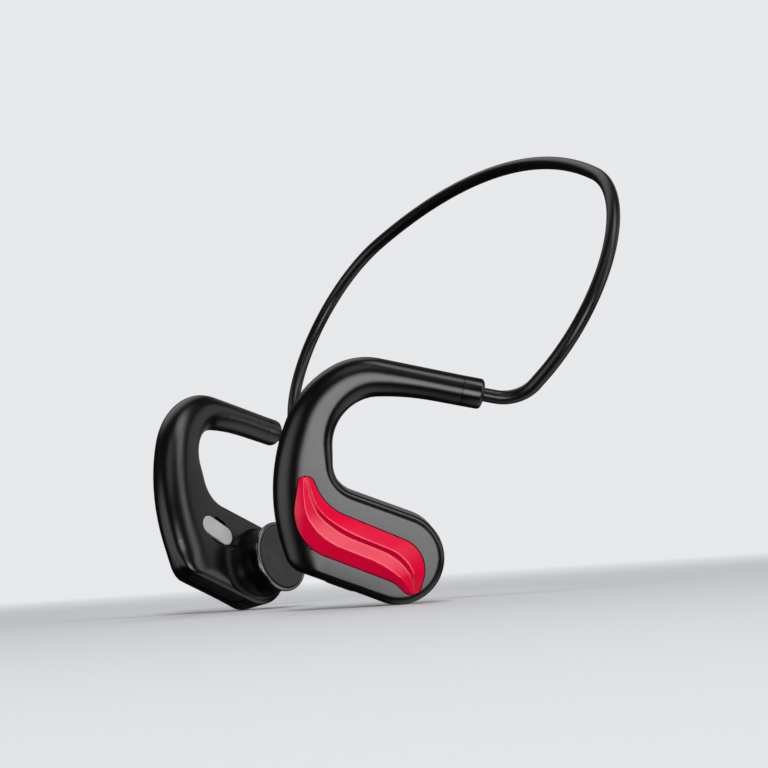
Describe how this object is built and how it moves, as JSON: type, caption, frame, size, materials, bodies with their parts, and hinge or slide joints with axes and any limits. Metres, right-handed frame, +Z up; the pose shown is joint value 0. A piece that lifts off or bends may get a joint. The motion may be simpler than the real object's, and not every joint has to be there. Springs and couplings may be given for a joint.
{
  "type": "bone conduction headphones",
  "caption": "Behind-the-neck bone conduction headset: slim ear hooks with flat pods, speaker barrels and skin pads, joined by a round flexible neckband.",
  "frame": {"origin": "centre of the overall box, on the ground plane the two pods stand on", "axes": "+X rearward, -Y to the wearer's left, +Y to the wearer's right, +Z up; mirror plane of the headset is Y = 0"},
  "size_m": [0.1034, 0.1808, 0.1315],
  "materials": {
    "shell": "gloss black",
    "inlay": "gloss red",
    "cap": "satin black",
    "barrel": "gloss black",
    "rim": "polished",
    "pad": "matte dark grey silicone",
    "coil": "enamelled copper",
    "spring": "sheet",
    "magnet": "nickel plated",
    "iron": "plated",
    "bracket": "matte",
    "screws": "plain",
    "gasket": "matte",
    "sleeve": "matte black silicone",
    "wire": "spring wire",
    "harness": "insulated copper",
    "battery": "foil pouch",
    "board": "green laminate",
    "switch": "moulded",
    "key": "satin black",
    "mic": "plated can",
    "mesh": "woven",
    "chip": "moulded",
    "socket": "formed steel",
    "cover": "light grey matte"
  },
  "bodies": {
    "left_side": {"left_outer_shell": "shell", "left_inner_shell": "shell", "left_inlay": "inlay", "left_cap": "cap", "left_barrel": "barrel", "left_rim_ring": "rim", "left_suspension": "spring", "left_magnet": "magnet", "left_yoke": "iron", "left_pole_plate": "iron", "left_bracket": "bracket", "left_bracket_screws": "screws", "left_barrel_gasket": "gasket", "left_band_sleeve": "sleeve", "left_memory_wire": "wire", "left_harness": "harness", "battery": "battery", "charge_board": "board", "power_switch": "switch", "microphone": "mic", "microphone_mesh": "mesh"},
    "right_side": {"right_outer_shell": "shell", "right_inner_shell": "shell", "right_inlay": "inlay", "right_cap": "cap", "right_barrel": "barrel", "right_rim_ring": "rim", "right_suspension": "spring", "right_magnet": "magnet", "right_yoke": "iron", "right_pole_plate": "iron", "right_bracket": "bracket", "right_bracket_screws": "screws", "right_barrel_gasket": "gasket", "right_band_sleeve": "sleeve", "right_memory_wire": "wire", "right_harness": "harness", "main_board": "board", "radio_chip": "chip", "charging_socket": "socket", "rocker_pin": "screws", "volume_switches": "switch"},
    "left_vibrator": {"left_skin_pad": "pad", "left_voice_coil": "coil"},
    "right_vibrator": {"right_skin_pad": "pad", "right_voice_coil": "coil"},
    "power_key": {"power_button": "key"},
    "volume_key": {"volume_rocker": "key"},
    "port_plug": {"port_cover": "cover"}
  },
  "joints": [
    {"name": "neckband_flex", "type": "hinge", "parent": "left_side", "child": "right_side", "pos_m": [0.04987, 0, 0.12958], "axis": [0.8894, 0, -0.4571], "range_deg": [-5, 35], "stiffness_Nm_per_rad": 0.35},
    {"name": "left_pad_vibration", "type": "slide", "parent": "left_side", "child": "left_vibrator", "axis": [0.3882, 0.9057, 0.1702], "range_m": [-0.0002, 0.0002], "stiffness_N_per_m": 60},
    {"name": "right_pad_vibration", "type": "slide", "parent": "right_side", "child": "right_vibrator", "axis": [0.3882, -0.9057, 0.1702], "range_m": [-0.0002, 0.0002], "stiffness_N_per_m": 60},
    {"name": "power_press", "type": "slide", "parent": "left_side", "child": "power_key", "axis": [0.305, -0.3006, 0.9037], "range_m": [0, 0.0004], "stiffness_N_per_m": 10},
    {"name": "volume_rock", "type": "hinge", "parent": "right_side", "child": "volume_key", "pos_m": [-0.03396, 0.04164, 0.00889], "axis": [0.3882, -0.9057, 0.1702], "range_deg": [-2.5, 2.5], "stiffness_Nm_per_rad": 0.001},
    {"name": "port_cover_pull", "type": "slide", "parent": "right_side", "child": "port_plug", "axis": [0.3882, -0.9057, 0.1702], "range_m": [0, 0.004]}
  ]
}
